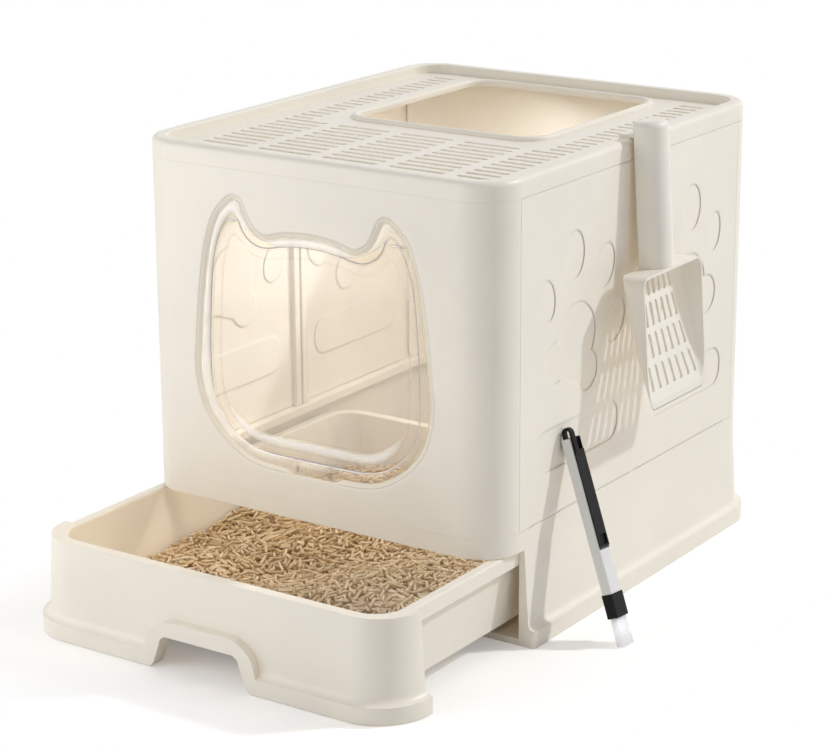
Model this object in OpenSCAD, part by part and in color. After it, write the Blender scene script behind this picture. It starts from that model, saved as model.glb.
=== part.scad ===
// Drawer litter box: an enclosed box for a cat with a pull-out tray, folding side walls,
// a clear swinging flap in a cat-head window, a slotted top cover with an entrance,
// a hanging scoop and a slim brush that leans on the wall.
// Origin: middle of the box footprint on the floor. X to the right, Y to the back, Z up.

/* [Box] */
// Outer width of the box
body_w = 410; // [342:1:492]
// Outer depth of the box, drawer closed
body_d = 498; // [440:1:598]
// Height of the base below the wall seam
base_h = 115.4; // [106:0.1:138]
// Height of the wall panels between base and cover
wall_h = 315; // [304:1:378]
// Height of the cover above the wall seam
cover_h = 19.1; // [16:0.1:22.9]
// Radius of the upright corners
corner_r = 41; // [38:0.5:46]
// Plastic thickness
shell = 3; // [2.5:0.1:3.4]

/* [Base] */
// How far the base walls lean out towards the floor
base_draft = 4.5; // [2:0.1:6]
// How far the foot flange stands out from the box
foot_out = 12; // [10:0.1:14]
// Height of the foot flange
foot_h = 15; // [12:0.5:17]
// Height of the front bar above the drawer mouth
bar_h = 18.9; // [15:0.1:22]
// Width of the ledge under the wall panels
ledge_w = 13.5; // [10:0.5:18]

/* [Drawer] */
// How far the drawer is pulled out
pull = 167; // [0:1:300]
// Gap between the tray and the side of the box
tray_in = 6; // [5:0.5:20]
// Length of the side wrap behind the front corners
wrap = 4; // [2:0.5:8]
// Height of the tray floor
tray_floor_z = 20; // [16:0.5:24]
// Mean height of the litter
litter_z = 48; // [35:1:80]
// Width of the finger notch at its top
notch_w = 74; // [60:1:100]
// Height of the finger notch
notch_h = 33.5; // [26:0.5:40]

/* [Window] */
// Size of the cat-head window against its drawn size
window_k = 1; // [0.85:0.01:1.1]
// Gap between flap and frame
flap_gap = 1.5; // [1:0.1:2.5]
// Thickness of the clear flap
flap_t = 2.5; // [2:0.1:3]
// Thickness of the pane inside the thicker rim of the flap
pane_t = 1.6; // [1.2:0.1:2]

/* [Cover] */
// Width of the top entrance
entry_w = 218; // [180:1:230]
// Depth of the top entrance
entry_d = 237; // [200:1:245]
// Inner corner radius of the top entrance
entry_r = 25; // [18:0.5:32]
// Width of the flat rim of the cover
rim_w = 14; // [13:0.5:17]
// Depth of the slotted plate below the rim
plate_drop = 9.7; // [7:0.1:11]
// Width of a vent slot
slot_w = 6; // [4:0.1:7.5]
// Distance between slot rows
slot_pitch = 14.3; // [12:0.1:18]
// Length of a full vent slot
slot_len = 62; // [50:1:66]

/* [Hinges] */
// Radius of a hinge pin
pin_r = 1.1; // [0.9:0.05:1.3]
// Radius of a hinge knuckle
knuckle_r = 2.4; // [2.2:0.1:2.6]
// Gap at the upright seams
seam = 0.4; // [0.3:0.05:0.8]

/* [Scoop] */
// Width of the scoop pan
pan_w = 116; // [96:1:126]
// Length of the scoop pan
pan_len = 130; // [108:1:156]
// Depth of the pan at the handle
pan_deep = 27; // [24:0.5:34]
// How far the pan floor bows out from a flat slope
pan_bow = 4; // [3:0.1:6]
// Width of the half-round scoop handle
grip_w = 36; // [30:0.5:40]
// Depth of the scoop handle
grip_deep = 26; // [22:0.5:26.5]
// Length of the handle below the cover rim
grip_len = 123.5; // [105:0.5:150]
// Height of the handle above the cover rim
grip_top = 17.5; // [13:0.5:22]
// Lean of the hanging scoop away from the wall
scoop_lean = 4; // [0:0.1:6]

/* [Brush] */
// Length of the brush handle
brush_len = 150; // [120:1:170]
// Width of the brush
brush_w = 19.8; // [16:0.1:24]
// Thickness of the brush
brush_t = 11; // [9:0.1:13]
// Lean of the brush against the wall
brush_lean = 21.25; // [17:0.05:26]

/* [Hidden] */
$fn = 72;
gap = 0.3;
play = 0.05;
hx = body_w / 2;
hy = body_d / 2;
wall_z = base_h;
cover_z = base_h + wall_h;
top_z = cover_z + cover_h;
bar_z = base_h - bar_h;
plate_z = top_z - plate_drop;
ledge_t = shell;
foot_top = foot_h + 10;
foot_round = 5;
mouth_y = -(hy - corner_r - 8);
drawer_top = bar_z - 1.2;
tray_front = -(hy - 2);
tray_back = hy - 11;
tray_d = tray_back - tray_front;
tray_y = (tray_back + tray_front) / 2;
tray_w = body_w - 2 * tray_in;
tray_r = corner_r - 3;
runner_in = 70;
runner_x = tray_w / 2 - runner_in;
seam_y = hy - corner_r + 1;
axis_x = hx - shell - 2.8;
fold_x = hx - 0.4;
knuckle_margin = 6;
knuckle_count = 5;
knuckle_len = (wall_h - 2 * knuckle_margin) / knuckle_count;
leaf_z0 = wall_z + gap;
leaf_h = wall_h - 2 * gap;
ornament_t = 0.8;
tab_x = hx - corner_r - 44;
tab_w = 30;
tab_h = 8;
tab_t = 2.3;
window_rise = 156.6;
window_z = wall_z + window_rise;
head_k = window_k * min(1, (hx - corner_r) / 164, wall_h / 315);
frame_front = -(hy - 2.4);
frame_back = frame_front + 4;
frame_lip = 5;
panel_back = -(hy - shell);
flap_y = (frame_front + frame_back) / 2;
hang_z = window_z + 108 * head_k;
flap_pin_r = 1;
latch_w = 36;
latch_z = window_z - 128.5 * head_k;
latch_h = 6.5;
tongue_w = 30;
tongue_h = 6;
entry_margin = 42;
entry_y = hy - entry_margin - entry_d / 2;
scoop_y = 3.4;
scoop_t = 2.2;
hang_x = 3.5;
hook_x = rim_w + hang_x + gap;
hook_w = 20;
grip_round = 7;
pan_r = 12;
pan_corner = 10;
pan_slope = atan(pan_deep / pan_len);
pan_chord = norm([pan_deep, pan_len]);
bow_r = pan_chord * pan_chord / (8 * pan_bow) + pan_bow / 2;
sieve_w = 5.5;
sieve_len = 23;
sieve_pitch = 9.8;
sieve_fan = 1.25;
sieve_row = 28.7;
sieve_start = 16;
brush_y = -138;
brush_turn = -4.6;
ferrule_len = 23;
bristle_len = 28;
brush_top = (brush_len + ferrule_len + bristle_len) * cos(brush_lean) * cos(brush_turn) - 1.2;
pan_x = brush_t - 3.7;
groove_y0 = 1.5;
groove_y1 = brush_w - 1.5;
groove_len = 108;

// ---- plane helpers -------------------------------------------------------------------

// rectangle with round corners, centred
module rounded(w, d, r) {
  square([w - 2 * r, d], center = true);
  square([w, d - 2 * r], center = true);
  for (sx = [-1, 1], sy = [-1, 1])
    translate([sx * (w / 2 - r), sy * (d / 2 - r)])
      circle(r = r);
}

// axis-aligned rectangle from corner a to corner b
module area(a, b) {
  translate(a)
    square([b[0] - a[0], b[1] - a[1]]);
}

// slot with round ends along the first axis
module slot(len, w) {
  square([len - w, w], center = true);
  for (s = [-1, 1])
    translate([s * (len - w) / 2, 0])
      circle(d = w, $fn = 20);
}

// a flat shape drawn in X and Z, standing between two values of Y
module plate_y(y0, y1) {
  translate([0, y1, 0])
    rotate([90, 0, 0])
      linear_extrude(y1 - y0)
        children();
}

// a flat shape drawn in Y and Z, standing between two values of X
module plate_x(x0, x1) {
  translate([x0, 0, 0])
    rotate([90, 0, 90])
      linear_extrude(x1 - x0)
        children();
}

// box from corner a to corner b
module block(a, b) {
  translate(a)
    cube(b - a);
}

// a wall section carried straight along the right side, from y0 to y1
module side_run(x, y0, y1) {
  translate([x, y1, 0])
    rotate([90, 0, 0])
      linear_extrude(y1 - y0)
        children();
}

// a wall section carried round the rear right corner
module corner_run(w, d, r) {
  translate([w / 2 - r, d / 2 - r, 0])
    rotate_extrude(angle = 90)
      translate([r, 0])
        children();
}

// a wall section carried along the back
module back_run(w, d, r) {
  rotate([0, 0, 90])
    side_run(d / 2, -(w / 2 - r), w / 2 - r)
      children();
}

// a wall section carried all the way round
module full_run(w, d, r) {
  for (m = [0, 1])
    mirror([m, 0, 0]) {
      side_run(w / 2, -(d / 2 - r), d / 2 - r)
        children();
      for (k = [0, 1])
        mirror([0, k, 0])
          corner_run(w, d, r)
            children();
    }
  for (k = [0, 1])
    mirror([0, k, 0])
      back_run(w, d, r)
        children();
}

// closed smooth curve through points p, n steps between two points
function smooth(p, n) = [
  for (i = [0 : len(p) - 1], k = [0 : n - 1])
    let (
      m = len(p), a = p[(i + m - 1) % m], b = p[i], c = p[(i + 1) % m], d = p[(i + 2) % m],
      t = k / n
    )
    0.5 * (2 * b + (c - a) * t + (2 * a - 5 * b + 4 * c - d) * t * t
      + (3 * b - a - 3 * c + d) * t * t * t)
];

// a half outline and its mirror image as one closed outline
function both_sides(p) = concat(p, [for (i = [len(p) - 1 : -1 : 0]) [-p[i][0], p[i][1]]]);

// the outline moved inwards by e
function inset(p, e) = [
  for (i = [0 : len(p) - 1])
    let (
      m = len(p), a = p[(i + m - 1) % m], c = p[(i + 1) % m],
      t = (c - a) / norm(c - a)
    )
    p[i] + e * [t[1], -t[0]]
];

// cat-head outlines about the middle of the window, right half from top to bottom
recess_half = [
  [12, 106.4], [32, 104], [48, 99.6], [56, 100.6], [65, 106.3], [72, 118], [78, 130], [86, 134],
  [94, 131.5], [102, 124.5], [112, 113], [120, 93], [126, 68], [132, 28], [136, -12], [138, -37],
  [136, -57], [130, -77], [120, -94], [105, -109], [85, -122], [65, -128.5], [40, -130.5],
  [12, -130.5]
];
opening_half = [
  [12, 92.3], [32, 90], [50, 86.3], [62, 87], [72, 91.5], [80, 100], [84.5, 109], [89, 115.5],
  [95, 113], [101, 105], [108, 90], [114, 68], [118, 28], [120.5, -22], [119, -60],
  [111, -81.5], [100, -94.5], [85, -106], [70, -112.2], [45, -114], [12, -114]
];
pane_half = [
  [12, 83], [34, 80.5], [54, 76.5], [70, 80], [82, 90], [90, 96], [97, 88], [104, 66],
  [108, 28], [110.5, -22], [109, -57], [102, -76], [92, -88], [79, -98], [66, -103],
  [45, -104.5], [12, -104.5]
];

module head(p, e) {
  translate([0, window_z])
    polygon(inset(smooth(both_sides(p), 4) * head_k, e));
}

module ellipse(a, b) {
  polygon([for (i = [0 : 39]) [a * cos(9 * i), b * sin(9 * i)]]);
}

// ---- wall sections: X is outwards from the box side, Y is height -----------------------

module base_outside() {
  difference() {
    union() {
      polygon([
        [-ledge_w, 0], [foot_out, 0], [foot_out, foot_h], [base_draft, foot_top],
        [0, bar_z], [0, base_h], [-ledge_w, base_h]
      ]);
      area([0, foot_h - 1], [foot_out, foot_top]);
    }
    translate([foot_out + 1, foot_top])
      circle(r = foot_out + 1 - base_draft);
  }
}

module base_inside() {
  polygon([
    [-ledge_w - 1, shell], [foot_out - shell, shell], [foot_out - shell, foot_h - 3],
    [base_draft - shell, foot_top - 3], [-shell, bar_z], [-shell, base_h - ledge_t],
    [-ledge_w - 1, base_h - ledge_t]
  ]);
}

module base_section() {
  difference() {
    base_outside();
    base_inside();
  }
  area([-ledge_w, base_h - 8.4], [2.5 - ledge_w, base_h]);
}

module bar_section() {
  intersection() {
    base_section();
    area([-ledge_w - 1, bar_z], [1, base_h + 1]);
  }
}

module front_section() {
  intersection() {
    difference() {
      base_outside();
      base_inside();
    }
    area([-shell - 0.5, 0.6], [foot_out + 1, drawer_top]);
  }
}

module tray_section() {
  difference() {
    union() {
      polygon([
        [-2.5, drawer_top - 15], [0, drawer_top - 15], [0, drawer_top - 2],
        [-10.5, drawer_top - 2], [-17, tray_floor_z + 3], [-17, tray_floor_z],
        [-14.3, tray_floor_z], [-8, drawer_top - 2.5], [-2.5, drawer_top - 2.5]
      ]);
      area([-8.5, drawer_top - 2.5], [-2, drawer_top]);
      for (x = [-8.5, -2])
        translate([x, drawer_top - 2])
          circle(r = 2, $fn = 32);
    }
    area([-8, drawer_top - 6], [-2.5, drawer_top - 2.5]);
  }
}

module cover_section() {
  difference() {
    union() {
      area([-rim_w, plate_z - 2.5], [0, top_z - 6]);
      area([-rim_w, top_z - 7], [-rim_w + 3, top_z - 2]);
      area([-rim_w + 2, top_z - 7], [-6, top_z]);
      translate([-6, top_z - 6])
        circle(r = 6);
      translate([-rim_w + 2, top_z - 2])
        circle(r = 2, $fn = 32);
      area([-shell, cover_z], [0, plate_z]);
    }
    area([-rim_w + shell, cover_z - 1], [-shell, top_z - 6]);
    area([-rim_w + shell, top_z - 7], [-6, top_z - shell]);
    translate([-6, top_z - 6])
      circle(r = 6 - shell);
    area([-rim_w - 1, cover_z - 1], [-rim_w + shell, plate_z - 2.5]);
  }
}

// ---- base ----------------------------------------------------------------------------

module base_frame() {
  color([0.93, 0.89, 0.81])
  difference() {
    union() {
      for (m = [0, 1])
        mirror([m, 0, 0]) {
          side_run(hx, mouth_y, hy - corner_r)
            base_section();
          side_run(hx, -(hy - corner_r), mouth_y + 0.01)
            bar_section();
          corner_run(body_w, body_d, corner_r)
            base_section();
          mirror([0, 1, 0])
            corner_run(body_w, body_d, corner_r)
              bar_section();
          // return flange beside the drawer mouth
          side_run(hx, mouth_y, mouth_y + shell)
            intersection() {
              base_outside();
              area([tray_w / 2 + 0.5 - hx, 0], [foot_out + 1, bar_z + 1]);
            }
          // drawer rail on the floor
          block([runner_x - 6, mouth_y + 2, shell - 0.5], [runner_x + 6, hy - 14, 6.5]);
        }
      back_run(body_w, body_d, corner_r)
        base_section();
      mirror([0, 1, 0])
        back_run(body_w, body_d, corner_r)
          bar_section();
      // floor
      linear_extrude(shell)
        intersection() {
          rounded(body_w + 2 * foot_out, body_d + 2 * foot_out, corner_r + foot_out);
          area([-hx - foot_out, mouth_y], [hx + foot_out, hy + foot_out]);
        }
      block([-hx + 2, mouth_y, 0], [hx - 2, mouth_y + 4, 6.5]);
    }
    for (m = [0, 1])
      mirror([m, 0, 0]) {
        // slot that takes the tab of the front panel
        block([tab_x - tab_w / 2 - 1, panel_back, base_h - tab_h - 1],
          [tab_x + tab_w / 2 + 1, panel_back + tab_t + gap, base_h + 1]);
        // rounded front end of the foot flange
        difference() {
          block([hx + foot_out - foot_round, mouth_y - 1, -1],
            [hx + foot_out + 1, mouth_y + foot_round, foot_top]);
          translate([hx + foot_out - foot_round, mouth_y + foot_round, -2])
            cylinder(r = foot_round, h = foot_top + 3);
        }
      }
  }
}

// ---- drawer --------------------------------------------------------------------------

module notch_outline() {
  polygon([
    [-notch_w / 2 - 19, -1], [-notch_w / 2 - 9, notch_h - 9], [-notch_w / 2, notch_h],
    [notch_w / 2, notch_h], [notch_w / 2 + 9, notch_h - 9], [notch_w / 2 + 19, -1]
  ]);
  for (s = [-1, 1])
    translate([s * notch_w / 2, notch_h - 9])
      circle(r = 9);
  // rounded lower corners of the skirt
  for (m = [0, 1])
    mirror([m, 0])
      difference() {
        polygon([
          [notch_w / 2 + 14, -1], [notch_w / 2 + 24.1, -1], [notch_w / 2 + 24.1, 8],
          [notch_w / 2 + 16.6, 5.1], [notch_w / 2 + 12, 5.1]
        ]);
        translate([notch_w / 2 + 24.1, 8])
          circle(r = 8);
      }
}

module notch_border() {
  n = notch_w / 2;
  polygon(smooth(both_sides([
    [n / 2, notch_h + 15.5], [n + 1, notch_h + 15], [n + 8, notch_h + 12.5],
    [n + 16, notch_h + 7.5], [n + 23, notch_h], [n + 26, notch_h - 10], [n + 29, 9],
    [n + 31, 1], [n / 2, 1]
  ]), 5));
}

module litter_drawer() {
  color([0.93, 0.89, 0.81])
  translate([0, -pull, 0])
  difference() {
    union() {
      // tray
      translate([0, tray_y, 0])
        full_run(tray_w, tray_d, tray_r)
          tray_section();
      translate([0, tray_y, tray_floor_z])
        linear_extrude(shell)
          rounded(tray_w - 29, tray_d - 29, tray_r - 14.5);
      // front with its wrapped corners
      mirror([0, 1, 0]) {
        back_run(body_w, body_d, corner_r)
          front_section();
        for (m = [0, 1])
          mirror([m, 0, 0]) {
            corner_run(body_w, body_d, corner_r)
              front_section();
            side_run(hx, -mouth_y + wrap, hy - corner_r)
              front_section();
          }
      }
      // rim that joins front and tray
      translate([0, 0, drawer_top - shell + 0.5])
        linear_extrude(shell - 0.5)
          difference() {
            intersection() {
              rounded(body_w - 0.4, body_d - 0.4, corner_r - 0.2);
              area([-hx, -hy], [hx, mouth_y - wrap]);
            }
            translate([0, tray_y])
              rounded(tray_w - 12, tray_d - 12, tray_r - 6);
          }
      // raised border round the finger notch
      plate_y(-(hy + foot_out), panel_back)
        notch_border();
      // runners
      for (s = [-1, 1])
        block([s * runner_x - 4, tray_front + 30, 6.5 + gap],
          [s * runner_x + 4, tray_back - 30, tray_floor_z + 1]);
    }
    plate_y(-(hy + foot_out + 2), tray_front + 9)
      notch_outline();
  }
}

module litter_bed() {
  color([0.78, 0.66, 0.48])
  translate([0, tray_y - pull, tray_floor_z + shell])
    linear_extrude(litter_z - tray_floor_z - shell)
      rounded(tray_w - 34 - 2 * gap, tray_d - 34 - 2 * gap, tray_r - 17);
}

// ---- front shell ---------------------------------------------------------------------

// C-shaped end wall, drawn for the front, e clear of base and cover
module end_wall(e) {
  translate([0, 0, wall_z + e])
    linear_extrude(wall_h - 2 * e)
      difference() {
        intersection() {
          rounded(body_w, body_d, corner_r);
          area([-hx, -hy], [hx, -seam_y - seam / 2]);
        }
        rounded(body_w - 2 * shell, body_d - 2 * shell, corner_r - shell);
      }
}

// knuckles on the front right hinge line; side -1 for the end wall, 1 for the leaf
module knuckles(first, side) {
  for (k = [first : 2 : knuckle_count - 1])
    translate([axis_x, -seam_y, wall_z + knuckle_margin + k * knuckle_len + 0.2]) {
      cylinder(r = knuckle_r, h = knuckle_len - 0.4);
      translate([0, side > 0 ? gap : -knuckle_r, 0])
        cube([hx - shell + 0.5 - axis_x, knuckle_r - gap, knuckle_len - 0.4]);
    }
}

module pin_bores(x, y) {
  translate([x, y, wall_z])
    cylinder(r = pin_r + play, h = wall_h);
}

module front_panel() {
  color([0.93, 0.89, 0.81])
  difference() {
    union() {
      end_wall(0);
      for (m = [0, 1])
        mirror([m, 0, 0]) {
          knuckles(0, -1);
          // tab that drops into the base
          block([tab_x - tab_w / 2, panel_back - 0.5, base_h + 0.1],
            [tab_x + tab_w / 2, panel_back + tab_t, base_h + 10]);
          block([tab_x - tab_w / 2, panel_back + gap, base_h - tab_h],
            [tab_x + tab_w / 2, panel_back + tab_t, base_h + 1]);
        }
    }
    for (s = [-1, 1])
      pin_bores(s * axis_x, -seam_y);
    plate_y(-hy - 1, panel_back + 1)
      head(recess_half, 0);
  }
}

// clear surround that carries flap and latch
module door_frame() {
  color([0.97, 0.95, 0.9, 0.5])
  difference() {
    union() {
      plate_y(frame_front, panel_back + gap + 0.1)
        head(recess_half, gap);
      plate_y(panel_back + gap, frame_back)
        head(recess_half, -frame_lip);
      // guide rails of the latch
      for (m = [0, 1])
        mirror([m, 0, 0])
          translate([0, 0, latch_z - 1.5]) {
            block([latch_w / 2 + 2.6, frame_front - 2.4, 0], [latch_w / 2 + 5, frame_front + 1, 15]);
            block([latch_w / 2 + gap, frame_front - 2.4, 0], [latch_w / 2 + 5, frame_front - 1.2, 15]);
          }
    }
    plate_y(frame_front - 1, frame_back + 1)
      head(opening_half, 0);
    plate_y(frame_front - 0.01, frame_back + 1)
      translate([0, window_z - 114 * head_k])
        rounded(tongue_w + 2 * flap_gap, 2 * tongue_h + 2 * flap_gap, 2);
    for (s = [-1, 1])
      translate([s * 101 * head_k, flap_y, hang_z])
        rotate([0, 90, 0])
          cylinder(r = flap_pin_r + play, h = 14, center = true, $fn = 32);
  }
}

module flap_door() {
  color([0.97, 0.97, 0.97, 0.35])
  difference() {
    union() {
      difference() {
        plate_y(flap_y - flap_t / 2, flap_y + flap_t / 2)
          union() {
            head(opening_half, flap_gap);
            translate([0, window_z - 114 * head_k])
              rounded(tongue_w, 2 * tongue_h, 2);
          }
        // thinner pane inside the raised rim
        plate_y(flap_y - flap_t, flap_y + flap_t / 2 - pane_t)
          head(pane_half, 0);
      }
      for (s = [-1, 1])
        translate([s * 92.5 * head_k, flap_y, hang_z])
          rotate([0, 90, 0])
            cylinder(r = 2.1, h = 9 * head_k, center = true, $fn = 32);
    }
    for (s = [-1, 1])
      translate([s * 95 * head_k, flap_y, hang_z])
        rotate([0, 90, 0])
          cylinder(r = flap_pin_r + play, h = 16, center = true, $fn = 32);
  }
}

module flap_pin(s) {
  color([0.75, 0.75, 0.76])
  translate([s * 98 * head_k, flap_y, hang_z])
    rotate([0, 90, 0])
      cylinder(r = flap_pin_r, h = 14, center = true, $fn = 32);
}

module door_latch() {
  color([0.97, 0.95, 0.9, 0.5])
  translate([0, 0, latch_z]) {
    block([-latch_w / 2, frame_front - 2.4, 0], [latch_w / 2, frame_front - gap, latch_h]);
    block([-latch_w / 2 - 2, frame_front - 0.9, 0], [latch_w / 2 + 2, frame_front - gap, latch_h]);
    // finger grip
    translate([0, frame_front - 2.4, latch_h / 2])
      rotate([0, 90, 0])
        cylinder(r = 1.4, h = latch_w - 12, center = true, $fn = 32);
  }
}

// ---- folding side walls --------------------------------------------------------------

module paw() {
  translate([-112, wall_z + window_rise])
    rotate(-20) {
      translate([0, 8])
        circle(r = 34);
      for (s = [-1, 1])
        translate([30 * s, -20])
          circle(r = 20);
      area([-30, -34], [30, 2]);
    }
  translate([-162, wall_z + 210.6])
    rotate(10)
      ellipse(13, 20);
  translate([-114, wall_z + 244.6])
    ellipse(17, 23);
  translate([-58, wall_z + 222.6])
    rotate(-20)
      ellipse(17, 22);
  translate([-38, wall_z + 164.6])
    rotate(-35)
      ellipse(17, 22);
}

module ornament() {
  paw();
  translate([-106, wall_z + 66])
    rounded(152, 41, 18);
}

// front right leaf; the others are its mirror images
module leaf() {
  difference() {
    union() {
      plate_x(hx - shell, hx)
        area([-seam_y + seam / 2, leaf_z0], [-0.15, leaf_z0 + leaf_h]);
      plate_x(hx - shell - ornament_t, hx - shell + 0.1)
        ornament();
      // stiff rib beside the fold line
      block([hx - shell - 5, -10.5, leaf_z0], [hx - shell + 0.1, -1.5, leaf_z0 + leaf_h]);
      knuckles(1, 1);
    }
    pin_bores(axis_x, -seam_y);
    plate_x(hx - ornament_t, hx + 1)
      ornament();
    // bevel that lets the outer faces close on each other
    translate([fold_x, -0.1, wall_z])
      rotate([0, 0, 20.5])
        block([0, -3, 0], [3, 0, wall_h]);
  }
}

module hinge_pin() {
  translate([axis_x, -seam_y, wall_z + knuckle_margin])
    cylinder(r = pin_r, h = wall_h - 2 * knuckle_margin, $fn = 48);
}

module side_leaf_front_right() {
  color([0.93, 0.89, 0.81])
  leaf();
}

module side_leaf_rear_right() {
  color([0.93, 0.89, 0.81])
  mirror([0, 1, 0])
    leaf();
}

module side_leaf_front_left() {
  color([0.93, 0.89, 0.81])
  mirror([1, 0, 0])
    leaf();
}

module side_leaf_rear_left() {
  color([0.93, 0.89, 0.81])
  rotate([0, 0, 180])
    leaf();
}

module rear_panel() {
  color([0.93, 0.89, 0.81])
  mirror([0, 1, 0])
    difference() {
      union() {
        end_wall(gap);
        for (m = [0, 1])
          mirror([m, 0, 0])
            knuckles(0, -1);
      }
      for (s = [-1, 1])
        pin_bores(s * axis_x, -seam_y);
    }
}

// ---- top cover -----------------------------------------------------------------------

// slots of one row between x0 and x1, on the common column grid
module slot_row(y, x0, x1) {
  col = slot_len + 13;
  for (c = [-3 : 3]) {
    a = max(x0, 8 + c * col - slot_len / 2);
    b = min(x1, 8 + c * col + slot_len / 2);
    if (b - a > 12)
      translate([(a + b) / 2, y])
        slot(b - a, slot_w);
  }
}

module vents() {
  rows = floor((body_d - 90) / slot_pitch);
  reach = hx - 40;
  clear = entry_w / 2 + 29;
  for (k = [0 : rows]) {
    y = -(hy - 55) + k * slot_pitch;
    if (y < entry_y - entry_d / 2 - 30)
      slot_row(y, -reach, reach);
    else {
      slot_row(y, -reach, -clear);
      slot_row(y, clear, reach);
    }
  }
}

module top_cover() {
  color([0.94, 0.9, 0.82])
  union() {
    full_run(body_w, body_d, corner_r)
      cover_section();
    translate([0, 0, plate_z - 2.5])
      linear_extrude(2.5)
        difference() {
          rounded(body_w - 2 * rim_w + 2, body_d - 2 * rim_w + 2, corner_r - rim_w + 1);
          vents();
          translate([0, entry_y])
            rounded(entry_w, entry_d, entry_r);
        }
    // rounded lip of the entrance
    translate([0, entry_y, 0])
      full_run(entry_w + 14, entry_d + 14, entry_r + 7)
        union() {
          area([-7, plate_z - 2.5], [0, plate_z + 1]);
          translate([-3.5, plate_z + 1])
            circle(r = 3.5, $fn = 40);
        }
    // tabs behind the front panel
    for (m = [0, 1])
      mirror([m, 0, 0])
        block([tab_x - tab_w / 2 - 10, panel_back + gap, cover_z - tab_h],
          [tab_x + tab_w / 2, panel_back + tab_t, top_z - shell + 0.5]);
  }
}

// ---- scoop ---------------------------------------------------------------------------

// pan outline in Y and Z, measured down from the cover rim
module pan_outline(e) {
  translate([0, -grip_len - pan_len / 2])
    rounded(pan_w - 2 * e, pan_len - 2 * e, pan_corner - e, $fn = 40);
}

// a flat shape with X away from the middle of the bow, carried along the bowed pan floor
module bow() {
  half = asin(pan_chord / 2 / bow_r) + 4;
  translate([
    pan_deep / 2 + cos(pan_slope) * (bow_r - pan_bow), 0,
    -grip_len - pan_len / 2 + sin(pan_slope) * (bow_r - pan_bow)
  ])
    rotate([90, 0, 0])
      rotate([0, 0, 180 + pan_slope - half])
        rotate_extrude(angle = 2 * half, $fn = 180)
          children();
}

// cross-section of the pan, e inside its outer faces
module trough(e) {
  translate([bow_r - 40 - e, 0])
    rounded(80, pan_w - 2 * e, pan_r - e, $fn = 40);
}

module pan() {
  difference() {
    intersection() {
      plate_x(0, pan_deep)
        pan_outline(0);
      union() {
        bow()
          difference() {
            trough(0);
            trough(scoop_t);
          }
        // wall below the handle
        intersection() {
          bow()
            trough(0);
          plate_x(-1, pan_deep + 1)
            difference() {
              area([-pan_w, -grip_len - pan_r - 1], [pan_w, -grip_len + 1]);
              pan_outline(scoop_t);
            }
        }
      }
    }
    plate_x(-1, pan_deep + 1)
      for (r = [0 : 3], c = [-3 : 3])
        translate([c * (sieve_pitch + r * sieve_fan), -grip_len - sieve_start - r * sieve_row])
          rotate(90 + atan(c * sieve_fan / sieve_row))
            slot(sieve_len, sieve_w);
  }
}

// right half of the handle's outline seen from the side wall, e inside its outer face
module grip_half(e) {
  w = grip_w / 2 - e;
  c = grip_round - e;
  area([0, -grip_len - 1], [w, grip_top - grip_round]);
  area([0, grip_top - grip_round - 1], [w - c, grip_top - e]);
  translate([w - c, grip_top - grip_round])
    circle(r = c, $fn = 40);
}

// half-round handle, e inside its outer face, from x0 outwards
module grip(e, x0) {
  flat = grip_deep - grip_w / 2;
  intersection() {
    translate([flat, 0, 0])
      rotate_extrude($fn = 72)
        grip_half(e);
    block([flat, -grip_w, -grip_len - 2], [grip_deep + 1, grip_w, grip_top + 1]);
  }
  plate_x(x0, flat) {
    grip_half(e);
    mirror([1, 0])
      grip_half(e);
  }
}

module litter_scoop() {
  color([0.9, 0.87, 0.8])
  translate([hx + hang_x, scoop_y, top_z])
    union() {
      rotate([0, -scoop_lean, 0]) {
        difference() {
          grip(0, 0);
          grip(scoop_t + 0.3, -1);
        }
        pan();
      }
      // hook over the cover rim
      block([-hook_x - 3, -hook_w / 2, 0], [3, hook_w / 2, 3]);
      block([1, 1 - grip_w / 2, 0], [6, grip_w / 2 - 1, 3]);
      block([-hook_x - 3, -hook_w / 2, -6], [-hook_x, hook_w / 2, 3]);
    }
}

// ---- brush: X is its thickness, Y its width, Z along the handle, 0 at the handle top ----

module brush_place() {
  translate([hx + 0.03, brush_y, brush_top])
    rotate([brush_turn, -brush_lean, 0])
      children();
}

module brush_body() {
  color([0.86, 0.87, 0.88])
  brush_place()
    difference() {
      translate([brush_t / 2, brush_w / 2, -brush_len])
        linear_extrude(brush_len)
          rounded(brush_t, brush_w, 2.5);
      // groove for the dustpan
      block([pan_x - gap, groove_y0, -groove_len], [brush_t + 1, groove_y1, 1]);
      // deeper hollow that takes the loop
      block([1.4, groove_y0, -19], [brush_t + 1, groove_y0 + 5.6, 1]);
    }
}

module brush_dustpan() {
  color([0.07, 0.07, 0.07])
  brush_place()
    difference() {
      union() {
        block([pan_x, groove_y0 + gap, 2 - groove_len], [brush_t + 0.8, groove_y1 - gap, -12]);
        loop(5.5, 0);
      }
      loop(2.7, 1);
      // scooping end
      block([brush_t - 1.4, groove_y0 + 2, 4 - groove_len], [brush_t + 2, groove_y1 - 2, 14 - groove_len]);
    }
}

// long round-ended loop of radius r, e wider on both sides
module loop(r, e) {
  translate([pan_x + 1, groove_y0 + gap - e, 0])
    rotate([-90, 0, 0])
      linear_extrude(5 + 2 * e) {
        area([-r, -5], [r, 12]);
        for (z = [-5, 12])
          translate([0, z])
            circle(r = r, $fn = 32);
      }
}

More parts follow.
